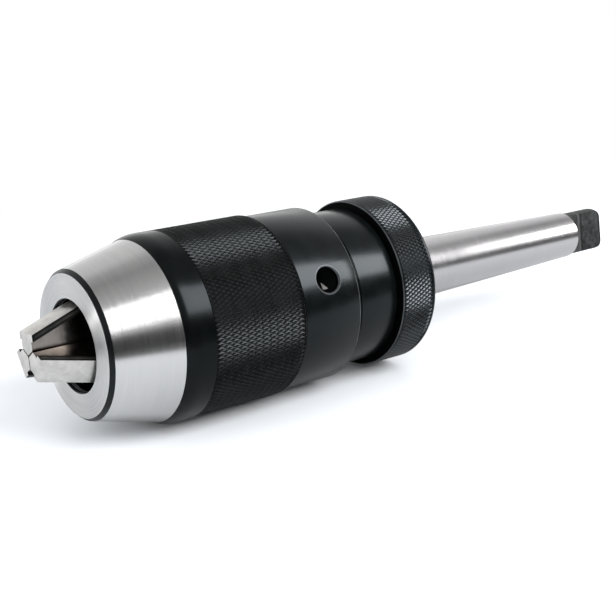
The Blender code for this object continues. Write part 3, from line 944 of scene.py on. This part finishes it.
def arbor_shank():
    """Hub, flange and ground taper, with the bore of the screw."""
    hub = 0.0130
    flange = 0.0196
    bore = 0.0073
    front = 0.0569
    profile = [
        (0.0066, TANG_START),
        (0.00725, TANG_START),
        (taper(0.1811), 0.1811),
        (taper(0.1809), 0.1809),
        (taper(TAPER_START), TAPER_START),
        (taper(TAPER_START) + 0.0001, 0.1015),
        (taper(TAPER_START) + 0.0004, 0.1013),
        (0.0126, 0.1013),
        (hub, 0.1009),
        (hub, 0.0632),
        (flange, 0.0632),
        (flange, 0.0594),
        (0.0192, 0.0590),
        (hub, 0.0590),
        (hub, 0.0573),
        (0.0126, front),
        (0.0077, front),
        (bore, 0.0573),
        (bore, 0.0885),
        (0.0037, 0.0921),
    ]
    shank = turn_profile("arbor_shank", profile, TURNED_FACETS, solid=True)
    cut(shank, pin_drill())
    paint(shank, GROUND_SHANK)
    shade(shank, 28.0)
    return place(shank, "arbor", "ground_steel", "arbor")


def arbor_tang():
    """Black tang with its two flats and the arcs where the cutter ran out."""
    centre = TANG_R - TANG_CORNER, TANG_END - TANG_CORNER
    profile = [(0.0066, TANG_START), (0.00722, TANG_START), (0.00695, 0.1817), (TANG_R, 0.1819)]
    profile += rounded(*centre, TANG_CORNER, 0.0, 90.0, 7)
    profile += [(0.0020, TANG_END), (0.00005, 0.1939)]
    tang = turn_profile("arbor_tang", profile, TANG_FACETS, solid=True)
    for side in (1.0, -1.0):
        cut(tang, tang_cutter(side))
    ease_edges(tang, 0.00022, 2, 30.0)
    paint(tang, TANG_SKIN_AND_SHADE)
    shade(tang, 28.0)
    return place(tang, "arbor", "ground_steel", "arbor")


def tang_cutter(side):
    """Block with one edge rounded to the cutter's radius, turned to its flat."""
    clear_selection()
    front = TANG_START - FACE_TO_GAUGE
    thickness, length, width = 0.0120, 0.0240, 0.0300
    near = 0.0002
    bpy.ops.mesh.primitive_cube_add(
        size=1.0,
        location=(side * (TANG_FLAT + thickness / 2), TANG_START + length / 2 - FACE_TO_GAUGE, 0.0),
        scale=(thickness, length, width),
    )
    cutter = bpy.context.object
    bpy.ops.object.transform_apply(location=True, rotation=True, scale=True)

    def inner_front(middle, corners):
        return abs(abs(middle.x) - TANG_FLAT) < near and abs(middle.y - front) < near

    edit(cutter, "EDGE")
    pick(cutter, "EDGE", inner_front)
    bpy.ops.mesh.bevel(offset=CUTTER_R, segments=24, affect="EDGES")
    bpy.ops.object.mode_set(mode="OBJECT")
    cutter.rotation_euler = (0.0, TANG_TURN, 0.0)
    bpy.ops.object.transform_apply(location=True, rotation=True, scale=True)
    return cutter


# Jaws and inner pieces

def jaw(number):
    """Jaw with a bright ground back and polished flanks; the borders of its rail sides and its inward
    faces are painted black as shade, round a lighter strip in each rail side.
    """
    name = "jaw_%d" % number
    piece = copy_of_node(name + "_ground", name, 0.00016)
    paint(piece, JAW_GROUND, JAW_FLANK, JAW_PAINTED_SHADE, JAW_STREAK)
    ground, flank, side, streak = range(4)
    turn = math.radians(FIRST_JAW_TURN + 120.0 * (number - 1))
    outward = (
        math.cos(turn) * math.cos(JAW_TILT),
        -math.sin(JAW_TILT),
        math.sin(turn) * math.cos(JAW_TILT),
    )
    facing = 0.85

    def side_reach(point):
        return abs(point.z * math.cos(turn) - point.x * math.sin(turn))

    def rail_side(middle, corners):
        return side_reach(middle) > 0.00354

    edit(piece)
    pick(piece, "FACE", rail_side)
    bpy.ops.mesh.inset(thickness=0.00052, depth=0.0, use_individual=True)
    bpy.ops.object.mode_set(mode="OBJECT")
    for face in piece.data.polygons:
        lean = sum(a * b for a, b in zip(face.normal, outward))
        if face.select:
            face.material_index = streak
        elif lean > facing or -face.normal.y > facing:
            face.material_index = ground
        # Painted shade: the rail sides' borders and the inward faces are painted black.
        elif side_reach(face.center) > 0.0034 or lean < -facing:
            face.material_index = side
        else:
            face.material_index = flank
    return place(piece, name, "jaw_steel", name)


def inner_piece(node, body, finish, material, width=0.0):
    """Inner piece that keeps its solid's shape."""
    piece = copy_of_node(node + "_turned", node, width)
    paint(piece, material)
    return place(piece, body, finish, node)


hood_nose()
hood_shell()
rear_sleeve()
grip_ring()
arbor_shank()
arbor_tang()
for number in (1, 2, 3):
    jaw(number)
inner_piece("jaw_guide", "sleeve", "black_oxide_steel", OXIDE)
inner_piece("thrust_screw", "thrust_screw", "bearing_steel", BEARING)
inner_piece("front_race", "arbor", "bearing_steel", BEARING)
inner_piece("rear_race", "sleeve", "bearing_steel", BEARING)
inner_piece("ball_cage", "ball_cage", "bronze", BRONZE)
inner_piece("sleeve_bushing", "sleeve", "bronze", BRONZE)
inner_piece("dust_seal", "sleeve", "seal_rubber", SEAL)
inner_piece("grip_ring_pin", "arbor", "bearing_steel", BEARING)
for number in range(1, 13):
    paint(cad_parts["ball_%02d" % number], BEARING)


# Studio

# Floor: just under the chuck, with its colour seen plainly, and painted shade where the metal mirrors
# it: darker further back and black far out to +X
FLOOR_LEVEL = -0.02502
FLOOR_SIZE = 0.9
FLOOR_COLOUR = (0.53, 0.545, 0.565)
FLOOR_MIRRORED_SHADE = (0.03, 0.03, 0.03)

# Camera at the photograph's viewpoint, aimed by two angles in degrees
CAMERA_PLACE = (0.256889, -0.247731, 0.100208)
CAMERA_AZIMUTH = 52.223
CAMERA_ELEVATION = 17.864
CAMERA_LENS = 70.13
CAMERA_SENSOR = 36.0

# Level of the mirrored surroundings at each angle round the chuck's axis, from +X up to +Z
SURROUNDINGS = [
    (-180.0, 0.95),
    (-16.0, 0.90),
    (-9.0, 0.03),
    (17.0, 0.03),
    (28.0, 0.66),
    (70.0, 0.52),
    (98.0, 0.32),
    (113.0, 0.46),
    (126.0, 0.74),
    (150.0, 0.86),
    (165.0, 0.98),
    (178.0, 1.40),
]


def mix_shaders(tree, amount, below, above):
    """Mix two shaders by a mask."""
    node = add_node(tree, "ShaderNodeMixShader")
    feed(tree, amount, node.inputs["Fac"])
    feed(tree, below, node.inputs[1])
    feed(tree, above, node.inputs[2])
    return node.outputs[0]


def background(tree, colour, strength):
    """Light from all round; both values may be outputs of nodes."""
    node = add_node(tree, "ShaderNodeBackground")
    feed(tree, colour, node.inputs["Color"])
    feed(tree, strength, node.inputs["Strength"])
    return node.outputs[0]


def studio_floor():
    """Plain white floor that runs out into the white background; as the metal mirrors it, it is painted
    darker as shade.
    """
    clear_selection()
    bpy.ops.mesh.primitive_circle_add(
        vertices=128, radius=FLOOR_SIZE, fill_type="NGON", location=(0.0, 0.0, FLOOR_LEVEL)
    )
    floor = bpy.context.object
    floor.name = "floor"
    bpy.ops.object.transform_apply(location=True, rotation=True, scale=True)
    material, tree, shader = new_material("floor_white")
    path = add_node(tree, "ShaderNodeLightPath")
    where = object_place(tree)
    split = add_node(tree, "ShaderNodeSeparateXYZ")
    feed(tree, where, split.inputs[0])
    # In reflections only, the floor is painted darker as shade: by a fifth at the front, by nearly half
    # further back, and black far out to +X.
    side = span(tree, split.outputs["X"], 0.0, 1.0, 0.11, 0.20, "SMOOTHSTEP")
    rear = span(tree, split.outputs["Y"], 0.20, 0.46, -0.115, -0.065)
    darker = combine(tree, "MAXIMUM", side, rear)
    mirrored = combine(tree, "MULTIPLY", darker, path.outputs["Is Glossy Ray"])
    feed(tree, mix_colours(tree, mirrored, FLOOR_COLOUR, FLOOR_MIRRORED_SHADE), shader.inputs["Base Color"])
    feed(tree, 0.9, shader.inputs["Roughness"])
    feed(tree, 0.05, shader.inputs["Specular IOR Level"])
    away = weighted_length(tree, where, (1.0, 0.55, 0.0))
    fade = span(tree, away, 0.0, 1.0, 0.09, 0.24, "SMOOTHSTEP")
    seen = combine(tree, "MULTIPLY", fade, path.outputs["Is Camera Ray"])
    white = add_node(tree, "ShaderNodeEmission")
    feed(tree, (1.0, 1.0, 1.0, 1.0), white.inputs["Color"])
    surface = mix_shaders(tree, seen, shader.outputs[0], white.outputs[0])
    feed(tree, surface, tree.nodes["Material Output"].inputs["Surface"])
    paint(floor, material)


def studio_world():
    """White to the camera, light from the front, and a studio for the metal to mirror."""
    world = bpy.data.worlds.new("studio")
    bpy.context.scene.world = world
    world.use_nodes = True
    tree = world.node_tree
    tree.nodes.clear()
    output = add_node(tree, "ShaderNodeOutputWorld")
    where = add_node(tree, "ShaderNodeTexCoord").outputs["Generated"]
    split = add_node(tree, "ShaderNodeSeparateXYZ")
    feed(tree, where, split.inputs[0])
    front = add_node(tree, "ShaderNodeVectorMath", operation="DOT_PRODUCT")
    feed(tree, where, front.inputs[0])
    feed(tree, (-0.40, -0.92, 0.0), front.inputs[1])
    lean = span(tree, front.outputs["Value"], 0.35, 3.0, -1.0, 1.0)
    angle = combine(tree, "ARCTAN2", split.outputs["Z"], split.outputs["X"])
    ramp = add_node(tree, "ShaderNodeValToRGB")
    feed(tree, span(tree, angle, 0.0, 1.0, -math.pi, math.pi), ramp.inputs["Fac"])
    elements = ramp.color_ramp.elements
    for index, (degrees, level) in enumerate(SURROUNDINGS):
        position = (degrees + 180.0) / 360.0
        element = elements[index] if index < 2 else elements.new(position)
        element.position = position
        element.color = (level, level, level, 1.0)
    white = (1.0, 1.0, 1.0, 1.0)
    path = add_node(tree, "ShaderNodeLightPath")
    even = background(tree, white, lean)
    mirrored = background(tree, ramp.outputs["Color"], 1.0)
    unseen = mix_shaders(tree, path.outputs["Is Glossy Ray"], even, mirrored)
    seen = background(tree, white, 1.0)
    surface = mix_shaders(tree, path.outputs["Is Camera Ray"], unseen, seen)
    feed(tree, surface, output.inputs["Surface"])


def soft_lamp(name, shape, width, power):
    """Lamp with a soft round or long face, still at the origin."""
    lamp = bpy.data.lights.new(name, "AREA")
    lamp.shape = shape
    lamp.size = width
    lamp.energy = power
    body = bpy.data.objects.new(name, lamp)
    bpy.context.scene.collection.objects.link(body)
    return body


def strip_lamp(name, angle, distance, width, length, along, power):
    """Long soft lamp beside the chuck, parallel to its axis."""
    body = soft_lamp(name, "RECTANGLE", width, power)
    body.data.size_y = length
    turn = math.radians(angle)
    body.location = (distance * math.cos(turn), along, distance * math.sin(turn))
    body.rotation_euler = (0.0, math.pi / 2 - turn, 0.0)
    return body


def front_lamp(name, lamp_place, width, power):
    """Small soft lamp in front of the jaws, aimed at the front face."""
    body = soft_lamp(name, "DISK", width, power)
    body.location = lamp_place
    aim = Vector((0.0, -FACE_TO_GAUGE, 0.0)) - body.location
    body.rotation_euler = aim.to_track_quat("-Z", "Y").to_euler()
    return body


def studio_camera():
    """Camera at the photograph's viewpoint."""
    camera = bpy.data.cameras.new("camera")
    camera.lens = CAMERA_LENS
    camera.sensor_width = CAMERA_SENSOR
    body = bpy.data.objects.new("camera", camera)
    bpy.context.scene.collection.objects.link(body)
    body.location = CAMERA_PLACE
    tip = math.radians(90.0 - CAMERA_ELEVATION)
    body.rotation_euler = (tip, 0.0, math.radians(CAMERA_AZIMUTH))
    bpy.context.scene.camera = body


studio_floor()
studio_world()
strip_lamp(
    "side_strip", angle=43.0, distance=0.60, width=0.34, length=1.02, along=0.36, power=10.7
)
front_lamp("front_light", lamp_place=(-0.15, -0.69, 0.12), width=0.06, power=0.55)
studio_camera()
bpy.context.scene.view_settings.view_transform = "Standard"

clear_selection()
